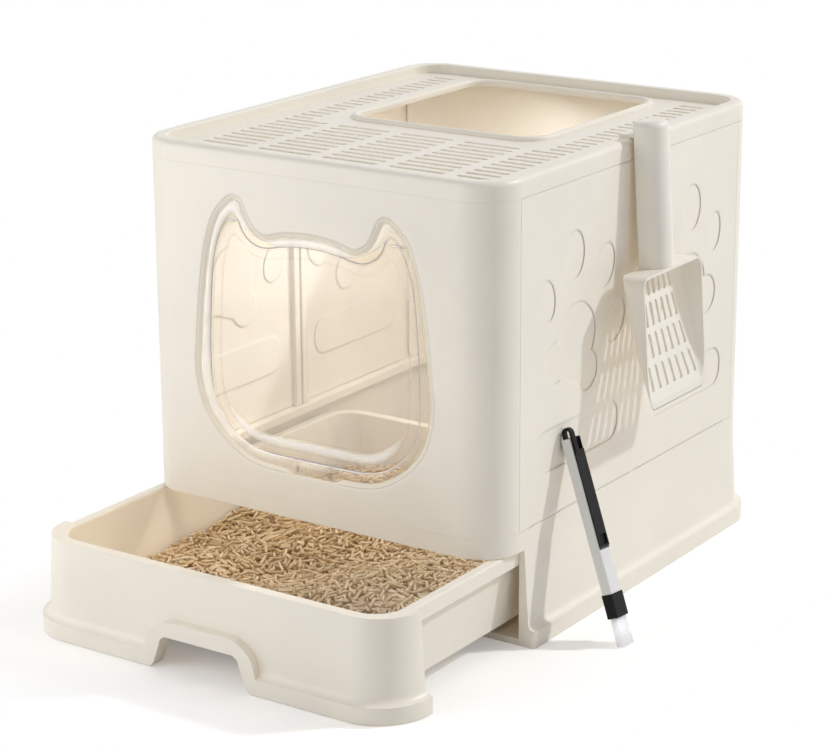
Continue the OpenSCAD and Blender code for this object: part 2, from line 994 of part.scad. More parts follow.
module brush_ferrule() {
  color([0.08, 0.08, 0.08])
  brush_place()
    difference() {
      translate([brush_t / 2, brush_w / 2, -brush_len - ferrule_len])
        linear_extrude(ferrule_len - gap)
          rounded(brush_t + 0.8, brush_w + 0.8, 1.5);
      translate([brush_t / 2, brush_w / 2, -brush_len - ferrule_len - 1])
        linear_extrude(ferrule_len - 4)
          rounded(brush_t - 2.4, brush_w - 2.4, 1);
    }
}

module brush_bristles() {
  color([0.96, 0.96, 0.95])
  difference() {
    brush_place()
      translate([brush_t / 2, brush_w / 2, -brush_len - ferrule_len - bristle_len])
        linear_extrude(bristle_len + 15)
          rounded(brush_t - 2.4 - 2 * gap, brush_w - 2.4 - 2 * gap, 0.8);
    // the floor trims the tips
    block([hx, brush_y - 100, -40], [hx + 200, brush_y + 100, gap]);
  }
}

base_frame();
litter_drawer();
litter_bed();
front_panel();
door_frame();
flap_door();
flap_pin(-1);  // flap_pin_left
flap_pin(1);  // flap_pin_right
door_latch();
rear_panel();
side_leaf_front_right();
side_leaf_rear_right();
side_leaf_front_left();
side_leaf_rear_left();
color([0.75, 0.75, 0.76]) hinge_pin();  // hinge_pin_front_right
color([0.75, 0.75, 0.76]) mirror([0, 1, 0]) hinge_pin();  // hinge_pin_rear_right
color([0.75, 0.75, 0.76]) mirror([1, 0, 0]) hinge_pin();  // hinge_pin_front_left
color([0.75, 0.75, 0.76]) rotate([0, 0, 180]) hinge_pin();  // hinge_pin_rear_left
top_cover();
litter_scoop();
brush_body();
brush_ferrule();
brush_bristles();
brush_dustpan();
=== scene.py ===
import math

import bmesh
import bpy
import numpy as np
from mathutils import Matrix, Vector


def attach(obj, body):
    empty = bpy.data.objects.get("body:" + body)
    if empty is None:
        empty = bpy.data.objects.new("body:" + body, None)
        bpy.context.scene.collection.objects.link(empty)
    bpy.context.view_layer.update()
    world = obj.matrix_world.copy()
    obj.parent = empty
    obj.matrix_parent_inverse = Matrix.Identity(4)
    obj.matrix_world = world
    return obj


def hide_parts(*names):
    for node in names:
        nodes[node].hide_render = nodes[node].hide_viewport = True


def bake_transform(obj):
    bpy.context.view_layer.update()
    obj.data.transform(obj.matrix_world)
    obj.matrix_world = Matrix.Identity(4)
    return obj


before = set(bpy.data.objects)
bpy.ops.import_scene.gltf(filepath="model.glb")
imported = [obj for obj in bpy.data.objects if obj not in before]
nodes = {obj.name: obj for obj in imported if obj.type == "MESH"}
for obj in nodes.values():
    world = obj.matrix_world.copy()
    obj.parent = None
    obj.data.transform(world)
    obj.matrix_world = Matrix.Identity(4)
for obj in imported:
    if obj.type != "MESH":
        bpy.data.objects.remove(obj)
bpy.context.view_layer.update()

rng = np.random.default_rng(11)
MM = 1000  # millimetres in a metre
BLACK, WHITE = (0, 0, 0), (1, 1, 1)


# ---- node helpers ----------------------------------------------------------------------

class Nodes:
    """Short ways to add and wire the nodes of one tree."""

    def __init__(self, tree):
        self.tree = tree
        self.coord = tree.nodes.new("ShaderNodeTexCoord")

    def plug(self, value, socket):
        """Links an output to the socket, or stores a plain value in it."""
        if isinstance(value, bpy.types.NodeSocket):
            self.tree.links.new(value, socket)
        elif socket.type == "RGBA":
            socket.default_value = (*value, 1)
        else:
            socket.default_value = value

    def node(self, kind, **values):
        """Adds a node; each value goes to the input of that name, or else to the node's own setting."""
        added = self.tree.nodes.new("ShaderNode" + kind)
        for key, value in values.items():
            if key in added.inputs:
                self.plug(value, added.inputs[key])
            else:
                setattr(added, key, value)
        return added

    def feed(self, added, values):
        """Plugs the values into the node's inputs from the first on and returns its first output."""
        for value, socket in zip(values, added.inputs):
            self.plug(value, socket)
        return added.outputs[0]

    def calc(self, operation, *values):
        return self.feed(self.node("Math", operation=operation), values)

    def dot(self, a, b):
        product = self.node("VectorMath", operation="DOT_PRODUCT")
        self.feed(product, (a, b))
        return product.outputs["Value"]

    def mix_shader(self, share, first, second):
        return self.feed(self.node("MixShader"), (share, first, second))

    def mix(self, share, a, b, mode="MIX"):
        """Mixes two colours."""
        mixed = self.node("Mix", data_type="RGBA", blend_type=mode)
        for index, value in ((0, share), (6, a), (7, b)):
            self.plug(value, mixed.inputs[index])
        return mixed.outputs[2]

    def noise(self, scale, detail=3.0, rough=0.5):
        cloud = self.node("TexNoise", Scale=scale, Detail=detail, Roughness=rough)
        self.plug(self.coord.outputs["Object"], cloud.inputs["Vector"])
        return cloud.outputs["Fac"]

    def axis(self, name):
        """One coordinate of the point in the object's own frame."""
        return self.node("SeparateXYZ", Vector=self.coord.outputs["Object"]).outputs[name]

    def ramp(self, value, stops):
        """Colour along the stops, each a place from 0 to 1 and a colour."""
        ramp = self.node("ValToRGB", Fac=value)
        elements = ramp.color_ramp.elements
        while len(elements) < len(stops):
            elements.new(0.5)
        for element, (place, colour) in zip(elements, stops):
            element.position = place
            element.color = (*colour, 1)
        return ramp.outputs["Color"]

    def span(self, value, low, high, start=0.3, stop=0.7):
        """Maps start to stop onto low to high and holds both ends."""
        mapped = self.node("MapRange")
        self.feed(mapped, (value, start, stop, low, high))
        return mapped.outputs["Result"]

    def bump(self, height, strength, distance, **normal):
        bumped = self.node("Bump", Height=height, Strength=strength, Distance=distance, **normal)
        return bumped.outputs["Normal"]


class Mat(Nodes):
    """A new material with its principled shader."""

    def __init__(self, name):
        self.material = bpy.data.materials.new(name)
        self.material.use_nodes = True
        super().__init__(self.material.node_tree)
        self.bsdf = self.tree.nodes["Principled BSDF"]

    def set(self, **values):
        """Sets or links inputs of the principled shader; _ stands for a space."""
        for key, value in values.items():
            self.plug(value, self.bsdf.inputs[key.replace("_", " ")])

    def show(self, shader):
        self.plug(shader, self.tree.nodes["Material Output"].inputs["Surface"])


def shade(colour, factor):
    """The colour made lighter or darker."""
    return tuple(min(1, c * factor) for c in colour)


def let_light_in(mat, glow):
    """Shadow rays pass each surface with the colour glow; every other ray sees it solid."""
    through = mat.node("BsdfTransparent", Color=glow)
    is_shadow = mat.node("LightPath").outputs["Is Shadow Ray"]
    mat.show(mat.mix_shader(is_shadow, mat.bsdf.outputs[0], through.outputs[0]))


# ---- plastics --------------------------------------------------------------------------

WINDOW_Z = 272.0  # height of the window's middle in mm
SOFT_EDGE = 0.0045  # edge radius in metres of the window's and the ornaments' soft edges
SOFT_FADE = 0.006  # width in metres over which that radius falls to the usual one


def plastic(name, colour, edge=0.0007, rough=(0.34, 0.44), grain=0.10, specular=0.45, metallic=0.0,
            glow=None, soft_zone=None):
    """Satin moulded plastic: faint mottling, fine grain, softened edges, slight edge wear.

    edge is the radius in metres to which edges are softened. glow is the light that each surface
    of a translucent wall lets through. soft_zone is an axis, a middle and a half width: edges
    within it are softened to SOFT_EDGE.
    """
    mat = Mat(name)
    stops = [(0.35, shade(colour, 0.98)), (0.65, shade(colour, 1.02))]
    mottled = mat.ramp(mat.noise(9, 4, 0.55), stops)
    radius, samples = edge, 6
    if soft_zone:
        axis, middle, half = soft_zone
        off = mat.calc("ABSOLUTE", mat.calc("SUBTRACT", mat.axis(axis), middle))
        radius, samples = mat.span(off, SOFT_EDGE, edge, half, half + SOFT_FADE), 8
    soft = mat.node("Bevel", samples=samples, Radius=radius).outputs["Normal"]
    # worn where the softened normal turns away from the face's own, which is at edges
    flatness = mat.dot(soft, mat.node("NewGeometry").outputs["Normal"])
    worn = mat.span(flatness, 0.35, 0.0, 0.80, 0.995)
    grained = mat.bump(mat.noise(1400, 2), grain, 0.0001, Normal=soft)
    wavy = mat.bump(mat.noise(22, 2, 0.4), 0.06, 0.0004, Normal=grained)
    mat.set(Base_Color=mat.mix(worn, mottled, shade(colour, 1.06)), Normal=wavy, Metallic=metallic,
            Roughness=mat.span(mat.noise(60, 4, 0.6), *rough), Specular_IOR_Level=specular)
    if glow:
        let_light_in(mat, glow)
    return mat.material


def clear_plastic(name, tint, body, haze, rough, gloss, painted=False):
    """Thin clear moulded plastic: see-through, a little milky, with a glossy skin.

    tint colours what is seen through it, body is the colour of its milky part and haze that
    part's share, which a painted piece varies from point to point to paint highlights and light.
    Shadow rays and rays that meet a back face see neither haze nor skin.
    """
    mat = Mat(name)
    hidden = mat.calc("MAXIMUM", mat.node("LightPath").outputs["Is Shadow Ray"],
                      mat.node("NewGeometry").outputs["Backfacing"])
    cloud = mat.mix(mat.span(mat.noise(26), haze * 0.85, haze * 1.15), BLACK, WHITE)
    if painted:
        own = mat.node("Attribute", attribute_name="haze").outputs["Color"]
        cloud = mat.mix(1.0, cloud, own, "MULTIPLY")
    soft = mat.node("Bevel", samples=4, Radius=0.0008).outputs["Normal"]
    wavy = mat.bump(mat.noise(18, 2), 0.05, 0.0004, Normal=soft)
    mat.set(Base_Color=mat.ramp(mat.noise(14, 2), [(0.3, body), (0.7, shade(body, 1.02))]),
            Roughness=mat.span(mat.noise(35), rough * 0.8, rough * 1.3), Normal=wavy)
    through = mat.node("BsdfTransparent", Color=tint)
    milky = mat.mix_shader(mat.mix(hidden, cloud, BLACK), through.outputs[0], mat.bsdf.outputs[0])
    skin = mat.node("BsdfGlossy", Roughness=rough, Normal=wavy)
    rim = mat.node("Fresnel", IOR=1.42, Normal=wavy)
    shine = mat.mix(mat.span(rim.outputs[0], 0.0, gloss, 0.0, 1.0), BLACK, WHITE)
    mat.show(mat.mix_shader(mat.mix(hidden, shine, BLACK), milky, skin.outputs[0]))
    return mat.material


IVORY = (0.875, 0.825, 0.735)
GLOW = (0.465, 0.425, 0.36)
ivory = plastic("ivory_plastic", IVORY, glow=GLOW)
front_ivory = plastic("ivory_front", IVORY, glow=GLOW, soft_zone=("Z", WINDOW_Z / MM, 0.142))
side_ivory = plastic("ivory_side", IVORY, edge=0.0004, glow=GLOW, soft_zone=("Y", 0.0, 0.19))
film_ivory = plastic("ivory_film", IVORY, edge=0.0, glow=GLOW)
# painted shade: a darker, warmer ivory for the window's rounded edge
fillet_shade_ivory = plastic("ivory_fillet_shade", (0.82, 0.75, 0.64), edge=0.0, glow=GLOW)
scoop_ivory = plastic("ivory_scoop", (0.86, 0.82, 0.74), edge=0.0012, glow=(0.50, 0.42, 0.30))
drawer_ivory = plastic("ivory_drawer", IVORY, edge=0.001, glow=(0.60, 0.51, 0.38))
steel = plastic("steel_pin", (0.62, 0.62, 0.63), edge=0.0002, rough=(0.25, 0.35), grain=0.2, metallic=1.0)
grey = plastic("brush_grey", (0.76, 0.76, 0.75), edge=0.0005)
black = plastic("brush_black", (0.012, 0.011, 0.011), edge=0.0003, rough=(0.45, 0.55), specular=0.15)
nylon = plastic("bristle_nylon", (0.93, 0.93, 0.94), edge=0.0, rough=(0.35, 0.5), glow=(0.8, 0.8, 0.82))

WARM_TINT = (0.99, 0.98, 0.96)
clear_frame = clear_plastic("clear_surround", WARM_TINT, (0.97, 0.94, 0.88),
                            haze=0.10, rough=0.15, gloss=0.2)
clear_flap = clear_plastic("clear_flap", (0.99, 0.985, 0.975), (0.98, 0.98, 0.985),
                           haze=0.20, rough=0.08, gloss=0.4)
# the beads' haze is painted point by point with highlights and light
clear_bead = clear_plastic("clear_bead", WARM_TINT, (0.98, 0.955, 0.90),
                           haze=1.0, rough=0.12, gloss=0.5, painted=True)
# painted highlight along the flap's lip, point by point
clear_lip = clear_plastic("clear_lip", WARM_TINT, (1.0, 0.985, 0.95),
                          haze=1.0, rough=0.15, gloss=0.5, painted=True)
# painted shade: the dark line along the surround's inner edge
clear_gap_shade = clear_plastic("clear_gap_shade", (0.96, 0.95, 0.97), (0.52, 0.48, 0.56),
                           haze=0.85, rough=0.12, gloss=0.3)

LOOKS = {
    "front_panel": front_ivory,
    "litter_scoop": scoop_ivory,
    "litter_drawer": drawer_ivory,
    "door_frame": clear_frame,
    "door_latch": clear_frame,
    "flap_door": clear_flap,
    "brush_body": grey,
    "brush_ferrule": black,
    "brush_dustpan": black,
}
for name, part in nodes.items():
    look = LOOKS.get(name, ivory)
    if "pin" in name.split("_"):
        look = steel
    elif name.startswith("side_leaf"):
        look = side_ivory
    part.data.materials.clear()
    part.data.materials.append(look)


# ---- mesh helpers ----------------------------------------------------------------------

def piece(name, verts, faces, material, smooth=False):
    """A new mesh object; a smooth one also gets its faces turned outwards."""
    mesh = bpy.data.meshes.new(name)
    mesh.from_pydata([tuple(v) for v in verts], [], faces)
    if smooth:
        turned = bmesh.new()
        turned.from_mesh(mesh)
        bmesh.ops.recalc_face_normals(turned, faces=turned.faces)
        turned.to_mesh(mesh)
        turned.free()
    mesh.materials.append(material)
    mesh.update()
    if smooth:
        mesh.shade_smooth()
    made = bpy.data.objects.new(name, mesh)
    bpy.context.scene.collection.objects.link(made)
    return made


def rods(start, end, radius, sides, taper):
    """Vertices and faces of many thin rods; taper is the end radius against the start radius."""
    axis = end - start
    axis /= np.linalg.norm(axis, axis=1)[:, None]
    aside = np.where(np.abs(axis[:, 2:3]) < 0.9, [[0.0, 0.0, 1.0]], [[1.0, 0.0, 0.0]])
    u = np.cross(axis, aside)
    u /= np.linalg.norm(u, axis=1)[:, None]
    v = np.cross(axis, u)
    turn = np.linspace(0, 2 * math.pi, sides, endpoint=False)
    ring = u[:, None, :] * np.cos(turn)[None, :, None] + v[:, None, :] * np.sin(turn)[None, :, None]
    ring = ring * radius[:, None, None]
    verts = np.concatenate([start[:, None, :] + ring, end[:, None, :] + ring * taper], axis=1)
    faces = []
    for rod in range(len(start)):
        first = rod * 2 * sides
        last = first + sides
        for j in range(sides):
            n = (j + 1) % sides
            faces.append((first + j, first + n, last + n, last + j))
        faces.append(tuple(first + j for j in reversed(range(sides))))
        faces.append(tuple(last + j for j in range(sides)))
    return verts.reshape(-1, 3), faces


# ---- litter ----------------------------------------------------------------------------

# the hollow of the tray at the litter, in metres
TRAY_HALF_X = 0.1815
TRAY_FRONT, TRAY_REAR = -0.3965, 0.0555
TRAY_MID_Y = (TRAY_FRONT + TRAY_REAR) / 2
TRAY_HALF_Y = (TRAY_REAR - TRAY_FRONT) / 2
TRAY_CORNER = 0.028

PILE_TOP = 0.0445  # height of the heap before its waves
PELLET_LENGTH = (0.0075, 0.0150)
PELLET_RADIUS = (0.00115, 0.00145)
PELLET_SPOTS = 6  # places along a pellet that are tested against the others
PELLET_APART = 0.0024  # least distance between the places of two pellets in a layer
WALL_APART = 0.0016  # least distance of these places from the tray's walls

# tries to lay a pellet, metres below the top of the heap, tilt; the last layer is a thin one
LAYERS = ((15000, 0.0054, 0.06), (15000, 0.0034, 0.08), (13000, 0.0014, 0.10), (900, -0.0006, 0.14))

PACKED_DROP = 0.0072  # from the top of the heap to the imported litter
PACKED_BOTTOM = 0.0235
PACKED_INSET = 0.001  # from the tray's walls


def pile_height(x, y):
    """Top of the litter in metres: an uneven heap, higher on the right and lower on the left."""
    heap = (PILE_TOP + 0.0045 * np.sin(17 * x + 3.0) * np.cos(13 * y + 0.6)
            + 0.0028 * np.sin(41 * x - 23 * y) + 0.0016 * np.cos(63 * y + 31 * x + 1.0))
    right_rise = 0.006 * np.clip((x + 0.05) / 0.22, 0, 1)
    left_dip = 0.004 * np.clip((-0.11 - x) / 0.07, 0, 1)
    return heap + right_rise - left_dip


def in_tray(x, y):
    """How far inside the round-cornered tray a point lies."""
    past_x = np.abs(x) - (TRAY_HALF_X - TRAY_CORNER)
    past_y = np.abs(y - TRAY_MID_Y) - (TRAY_HALF_Y - TRAY_CORNER)
    outside = np.hypot(np.maximum(past_x, 0), np.maximum(past_y, 0))
    return TRAY_CORNER - (outside + np.minimum(np.maximum(past_x, past_y), 0))


def onto_corner(x, y):
    """Pulls a point that lies outside a rounded corner of the tray onto its arc."""
    straight_x, straight_y = TRAY_HALF_X - TRAY_CORNER, TRAY_HALF_Y - TRAY_CORNER
    past_x, past_y = abs(x) - straight_x, abs(y - TRAY_MID_Y) - straight_y
    if past_x > 0 and past_y > 0 and math.hypot(past_x, past_y) > TRAY_CORNER:
        shrink = TRAY_CORNER / math.hypot(past_x, past_y)
        x = math.copysign(straight_x + past_x * shrink, x)
        y = TRAY_MID_Y + math.copysign(straight_y + past_y * shrink, y - TRAY_MID_Y)
    return x, y


def cell_of(spot):
    return int(spot[0] // PELLET_APART), int(spot[1] // PELLET_APART)


def is_free(spot, taken):
    """Whether a spot keeps PELLET_APART from all spots in taken, which lists them by grid cell."""
    i, j = cell_of(spot)
    for near in ((i + di, j + dj) for di in (-1, 0, 1) for dj in (-1, 0, 1)):
        for x, y in taken.get(near, ()):
            if (spot[0] - x) ** 2 + (spot[1] - y) ** 2 < PELLET_APART ** 2:
                return False
    return True


def lay_pellets(tries, drop, tilt):
    """One layer of pellets that lie beside each other, drop metres below the top of the heap."""
    x = rng.uniform(-TRAY_HALF_X, TRAY_HALF_X, tries)
    y = rng.uniform(TRAY_FRONT, TRAY_REAR, tries)
    length = rng.uniform(*PELLET_LENGTH, tries)
    turn = rng.uniform(0, math.pi, tries)
    along = np.linspace(-0.5, 0.5, PELLET_SPOTS)
    spots_x = x[:, None] + along * (length * np.cos(turn))[:, None]
    spots_y = y[:, None] + along * (length * np.sin(turn))[:, None]
    inside = (in_tray(spots_x, spots_y) > WALL_APART).all(axis=1)
    taken, kept = {}, []
    for k in np.nonzero(inside)[0]:
        spots = list(zip(spots_x[k].tolist(), spots_y[k].tolist()))
        if all(is_free(spot, taken) for spot in spots):
            kept.append(k)
            for spot in spots:
                taken.setdefault(cell_of(spot), []).append(spot)
    lift = rng.normal(0, tilt, len(kept)) * length[kept] / 2
    ends = []
    for end, sign in ((0, -1), (-1, 1)):
        end_x, end_y = spots_x[kept, end], spots_y[kept, end]
        ends.append(np.stack([end_x, end_y, pile_height(end_x, end_y) - drop + sign * lift], 1))
    return *ends, rng.uniform(*PELLET_RADIUS, len(kept))


def loose_pellets():
    """All layers of pellets."""
    layers = [lay_pellets(*layer) for layer in LAYERS]
    start, end, radius = (np.concatenate(part) for part in zip(*layers))
    return rods(start, end, radius, sides=7, taper=0.96)


def packed_litter():
    """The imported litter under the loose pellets, one closed body."""
    columns, rows = 60, 74  # points of its top across and along the tray
    count = columns * rows
    verts, faces = [], []
    for is_top in (True, False):
        for j in np.linspace(-1, 1, rows):
            for i in np.linspace(-1, 1, columns):
                x, y = onto_corner(i * (TRAY_HALF_X - PACKED_INSET),
                                   TRAY_MID_Y + j * (TRAY_HALF_Y - PACKED_INSET))
                z = float(pile_height(x, y)) - PACKED_DROP if is_top else PACKED_BOTTOM
                verts.append((x, y, z))
    for j in range(rows - 1):
        for i in range(columns - 1):
            top = j * columns + i
            faces.append((top, top + 1, top + columns + 1, top + columns))
            low = top + count
            faces.append((low + columns, low + columns + 1, low + 1, low))
    front = list(range(columns - 1))
    right = [j * columns + columns - 1 for j in range(rows - 1)]
    rear = [count - 1 - i for i in range(columns - 1)]
    left = [j * columns for j in range(rows - 1, 0, -1)]
    rim = front + right + rear + left
    for a, b in zip(rim, rim[1:] + rim[:1]):
        faces.append((a, a + count, b + count, b))
    return verts, faces


# painted light: the pale colour the litter takes to the right and towards the front
LIT_LITTER_COLOUR = (0.97, 0.90, 0.78)
LITTER_GLOW = (0.42, 0.34, 0.25)


def pellet_material(name, stops, rough):
    """Pressed plant litter: each pellet has its own colour; the paleness to the right and the front is
    painted light.
    """
    mat = Mat(name)
    own = mat.ramp(mat.node("NewGeometry").outputs["Random Per Island"], stops)
    # painted light: pellets are made paler to the right and towards the front
    painted_light_share = mat.calc("MAXIMUM", mat.span(mat.axis("X"), 0.0, 0.7, -0.02, 0.17),
                   mat.span(mat.axis("Y"), 0.45, 0.0, -0.40, -0.28))
    own = mat.mix(painted_light_share, own, LIT_LITTER_COLOUR)
    spots = mat.ramp(mat.noise(900, 4, 0.65), [(0.38, (0.80, 0.74, 0.66)), (0.62, WHITE)])
    mat.set(Base_Color=mat.mix(0.75, own, spots, "MULTIPLY"), Specular_IOR_Level=0.25,
            Normal=mat.bump(mat.noise(2200, 3, 0.6), 0.5, 0.00025),
            Roughness=mat.span(mat.noise(300, 2), rough, rough + 0.12))
    let_light_in(mat, LITTER_GLOW)
    return mat.material


PELLET_COLOURS = [(0.0, (0.66, 0.49, 0.30)), (0.35, (0.80, 0.63, 0.41)),
                  (0.7, (0.88, 0.72, 0.50)), (1.0, (0.93, 0.81, 0.62))]
PACKED_COLOURS = [(0.0, (0.52, 0.36, 0.21)), (1.0, (0.60, 0.43, 0.26))]
pellet_mat = pellet_material("litter_pellets", PELLET_COLOURS, rough=0.7)
packed_mat = pellet_material("litter_packed", PACKED_COLOURS, rough=0.85)
pellets = piece("litter_pellets", *loose_pellets(), pellet_mat)
packed = piece("litter_packed", *packed_litter(), packed_mat, smooth=True)
for part in (pellets, packed):
    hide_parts("litter_bed")
    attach(part, "drawer")


# ---- cat-head window -------------------------------------------------------------------

# outlines in mm about the middle of the window, right half from top to bottom
RECESS = [
    (12, 106.4), (32, 104), (48, 99.6), (56, 100.6), (65, 106.3), (72, 118), (78, 130), (86, 134),
    (94, 131.5), (102, 124.5), (112, 113), (120, 93), (126, 68), (132, 28), (136, -12), (138, -37),
    (136, -57), (130, -77), (120, -94), (105, -109), (85, -122), (65, -128.5), (40, -130.5), (12, -130.5)]
OPENING = [
    (12, 92.3), (32, 90), (50, 86.3), (62, 87), (72, 91.5), (80, 100), (84.5, 109), (89, 115.5),
    (95, 113), (101, 105), (108, 90), (114, 68), (118, 28), (120.5, -22), (119, -60), (111, -81.5),
    (100, -94.5), (85, -106), (70, -112.2), (45, -114), (12, -114)]
PANE = [
    (12, 83), (34, 80.5), (54, 76.5), (70, 80), (82, 90), (90, 96), (97, 88), (104, 66), (108, 28),
    (110.5, -22), (109, -57), (102, -76), (92, -88), (79, -98), (66, -103), (45, -104.5), (12, -104.5)]

# places along Y in mm
FRONT_Y = -249.0  # face of the front wall
SURROUND_Y = -246.6  # face of the clear surround
LIP_Y = -245.4  # foot of the flap's lip, inside the flap's rim
BEAD_BACK = 0.25  # how far a bead reaches behind its foot

# the latch and its guides, in mm about the middle of the window, and how fast pieces thin out beside them
LATCH_HALF, LATCH_TOP = 25, -108
LATCH_FADE = 8

# distances in mm inside the recess's edge; a pair is what is left beside the latch and what comes on top
FILLET_START, FILLET_END = 0.02, (0.25, 4.6)
FILLET_DEPTH = 2.45
BEAD_START = (0.9, 4.3)
BEAD_RISE = 2.2

# distances in mm outside the opening's edge, and how far the painted shade line stands out of the surround
# and in it
BEAD_END = 1.2
LINE_START, LINE_WIDTH = 0.1, 1.2
LINE_RISE, LINE_SUNK = 0.15, 0.2

# the flap's lip in mm: its middle line inside the pane's edge, half its least width, more on each side
LIP_INSET, LIP_LEAST = 1.5, 0.4
LIP_OUT, LIP_IN = 5.0, 8.4
LIP_RISE = 2.4
LIP_FROM, LIP_FADE = -62, 40  # it starts below this height and is full after this way


def smooth_outline(half, count=360):
    """Closed smooth curve through the points of one half and their mirror images, evenly stepped."""
    corners = np.array(half + [(-x, z) for x, z in reversed(half)], float)
    a, b, c, d = np.roll(corners, 1, 0), corners, np.roll(corners, -1, 0), np.roll(corners, -2, 0)
    curve = []
    for t in np.linspace(0, 1, 12, endpoint=False):
        curve.append(0.5 * (2 * b + (c - a) * t + (2 * a - 5 * b + 4 * c - d) * t ** 2
                            + (3 * b - a - 3 * c + d) * t ** 3))
    points = np.stack(curve, 1).reshape(-1, 2)
    step = np.linalg.norm(np.roll(points, -1, 0) - points, axis=1)
    along = np.concatenate([[0], np.cumsum(step)])
    points = np.vstack([points, points[:1]])
    at = np.linspace(0, along[-1], count, endpoint=False)
    return np.stack([np.interp(at, along, points[:, i]) for i in (0, 1)], 1)


def inward(outline):
    """Unit vectors that point from the outline into the window."""
    ahead = np.roll(outline, -1, 0) - np.roll(outline, 1, 0)
    ahead /= np.linalg.norm(ahead, axis=1)[:, None]
    return np.stack([ahead[:, 1], -ahead[:, 0]], 1)


def nearest(outline, target, smooth=9):
    """For each point of the outline the nearest one of target, evened out along the curve."""
    distance = np.linalg.norm(outline[:, None, :] - target[None, :, :], axis=2)
    found = target[distance.argmin(1)]
    padded = np.vstack([found[-smooth:], found, found[:smooth]])
    kernel = np.ones(2 * smooth + 1) / (2 * smooth + 1)
    return np.stack([np.convolve(padded[:, i], kernel, "valid") for i in (0, 1)], 1)


def clear_of_latch(ring):
    """1 away from the latch, falling to 0 where its guides stand."""
    side = np.clip((np.abs(ring[:, 0]) - LATCH_HALF) / LATCH_FADE, 0, 1)
    up = np.clip((ring[:, 1] - LATCH_TOP) / LATCH_FADE, 0, 1)
    return np.maximum(side, up)


def band(name, outer, inner, depth, back, material, steps):
    """Closed ring between two outlines in mm.

    depth(t, ring) is where its front lies along Y, from outer (t = 0) to inner (t = 1), and
    back is where its rear lies.
    """
    rings = []
    for k in range(steps + 1):
        t = k / steps
        ring = outer + (inner - outer) * t
        rings.append((ring, depth(t, ring)))
    rings += [(inner, back), (outer, back)]
    n = len(outer)
    verts = [np.stack([ring[:, 0], np.broadcast_to(y, n), WINDOW_Z + ring[:, 1]], 1) / MM
             for ring, y in rings]
    faces = []
    for k in range(len(rings)):
        m = (k + 1) % len(rings)
        for i in range(n):
            j = (i + 1) % n
            faces.append((k * n + i, m * n + i, m * n + j, k * n + j))
    return piece(name, np.concatenate(verts), faces, material, smooth=True)


def bead(name, outer, inner, foot_y, rise, share, material, steps):
    """Rounded band that stands rise mm out of the plane y = foot_y; share(ring) lowers it in places."""
    def depth(t, ring):
        return foot_y - rise * max(0.0, 1 - (2 * t - 1) ** 2) ** 0.5 * share(ring)

    return band(name, outer, inner, depth, foot_y + BEAD_BACK, material, steps)


def paint_haze_and_light(part, front, back):
    """Stores how milky each point of a bead is, which also paints its highlights and light: one row for each
    ring of its front, one value behind.
    """
    values = np.concatenate([front.ravel(), np.full(2 * front.shape[1], back)])
    haze = part.data.attributes.new("haze", "FLOAT", "POINT")
    haze.data.foreach_set("value", np.clip(values, 0, 1).astype(np.float32))


def peak(at, middle, width):
    return np.exp(-((at - middle) / width) ** 2)


recess, opening, pane = smooth_outline(RECESS), smooth_outline(OPENING), smooth_outline(PANE)
latch_free = clear_of_latch(recess)[:, None]


def window_fillet():
    """Rounded edge with which the front wall turns into the window; its darker, warmer colour is painted
    shade.
    """
    least, more = FILLET_END
    outer = recess + inward(recess) * FILLET_START
    inner = recess + inward(recess) * (least + more * latch_free)

    def depth(t, ring):
        return FRONT_Y + FILLET_DEPTH * (1 - math.cos(t * math.pi / 2))

    return band("window_fillet", outer, inner, depth, FRONT_Y + FILLET_DEPTH, fillet_shade_ivory, steps=8)


def door_surround_bead():
    """Rounded clear band between recess and opening: a little milky, with painted highlights at both edges
    and painted light on the left and top.
    """
    steps = 24
    least, more = BEAD_START
    outer = recess + inward(recess) * (least + more * latch_free)
    inner = nearest(outer, opening - inward(opening) * BEAD_END)
    made = bead("door_surround_bead", outer, inner, SURROUND_Y, BEAD_RISE, clear_of_latch, clear_bead, steps)
    at = np.linspace(0, 1, steps + 1)
    # a little milky throughout, with painted highlights along both edges
    across = 0.18 + 0.7 * peak(at, 0.03, 0.045) + 0.75 * peak(at, 0.95, 0.05)
    x, z = outer.T
    # painted light: whiter on the left and at the top
    left = np.clip((20 - x) / 130, 0, 1) * 0.5
    top = np.clip((z - 25) / 60, 0, 1) * np.clip((112 - x) / 50, 0.1, 1) * 0.55
    paint_haze_and_light(made, across[:, None] + np.maximum(left, top)[None, :], 0.1)
    return made


def surround_gap_shade():
    """Painted shade: a thin dark line along the gap at the inner edge of the clear surround."""
    inner = opening - inward(opening) * LINE_START
    outer = inner - inward(opening) * LINE_WIDTH
    return band("surround_gap_shade", outer, inner, lambda t, ring: SURROUND_Y - LINE_RISE,
                SURROUND_Y + LINE_SUNK, clear_gap_shade, steps=1)


def flap_lip_bead():
    """Raised lip along the lower edge of the flap, thinning out up its sides, with a painted highlight along
    its middle.
    """
    steps = 16
    strong = np.clip((LIP_FROM - pane[:, 1]) / LIP_FADE, 0.0, 1)
    strong = strong * strong * (3 - 2 * strong)
    middle = pane + inward(pane) * LIP_INSET
    outer = middle - inward(pane) * (LIP_LEAST + LIP_OUT * strong[:, None])
    inner = middle + inward(pane) * (LIP_LEAST + LIP_IN * strong[:, None])
    made = bead("flap_lip_bead", outer, inner, LIP_Y, LIP_RISE, lambda ring: 0.05 + 0.95 * strong,
                clear_lip, steps)
    at = np.linspace(0, 1, steps + 1)
    # painted highlight: the lip is milky white along its middle, where light from above catches it
    across = 0.03 + 0.8 * np.clip(np.sin(np.pi * at), 0, 1) ** 2
    paint_haze_and_light(made, across[:, None] * (0.03 + 0.97 * strong)[None, :], 0.0)
    return made


